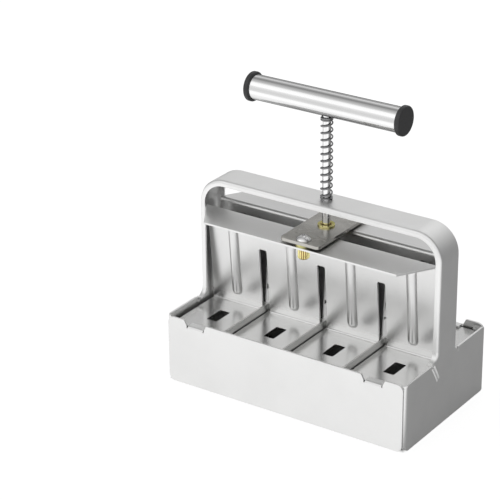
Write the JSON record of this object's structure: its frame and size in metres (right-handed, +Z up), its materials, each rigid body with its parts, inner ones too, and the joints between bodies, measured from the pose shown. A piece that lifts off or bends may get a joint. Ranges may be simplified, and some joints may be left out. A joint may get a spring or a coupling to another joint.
{
  "type": "soil blocker",
  "caption": "Hand soil blocker: open steel box of cells under a folded arch, with two sheet plungers on a sprung shaft and a T handle.",
  "frame": {"origin": "centre of the box's footprint, on the plane of the lower edges", "axes": "+X along the box to the right, +Y to the back, +Z up along the shaft"},
  "size_m": [0.212, 0.12, 0.2403],
  "materials": {
    "frame_steel": "satin stainless sheet",
    "plunger_steel": "bright stainless sheet",
    "bracket_steel": "brushed steel plate",
    "bright_steel": "polished steel",
    "spring_steel": "drawn spring wire",
    "plated_steel": "yellow zinc plating",
    "cap_plastic": "moulded black plastic"
  },
  "bodies": {
    "frame": {"end_frame": "frame_steel", "front_wall": "frame_steel", "back_wall": "frame_steel", "centre_divider": "frame_steel", "left_divider": "frame_steel", "middle_divider": "frame_steel", "right_divider": "frame_steel", "return_spring": "spring_steel"},
    "plunger": {"front_plunger": "plunger_steel", "rear_plunger": "plunger_steel", "bracket_plate": "bracket_steel", "front_bracket_screw": "bright_steel", "rear_bracket_screw": "bright_steel", "front_rivet_nut": "plated_steel", "rear_rivet_nut": "plated_steel", "shaft_rivet_nut": "plated_steel", "shaft": "bright_steel", "handle_tube": "bright_steel", "handle_nut": "plated_steel", "left_end_cap": "cap_plastic", "right_end_cap": "cap_plastic"}
  },
  "joints": [
    {"name": "plunger_slide", "type": "slide", "parent": "frame", "child": "plunger", "axis": [0, 0, 1], "range_m": [-0.044, 0], "stiffness_N_per_m": 1500, "springref_m": 0.02, "deforming": ["return_spring"]}
  ]
}
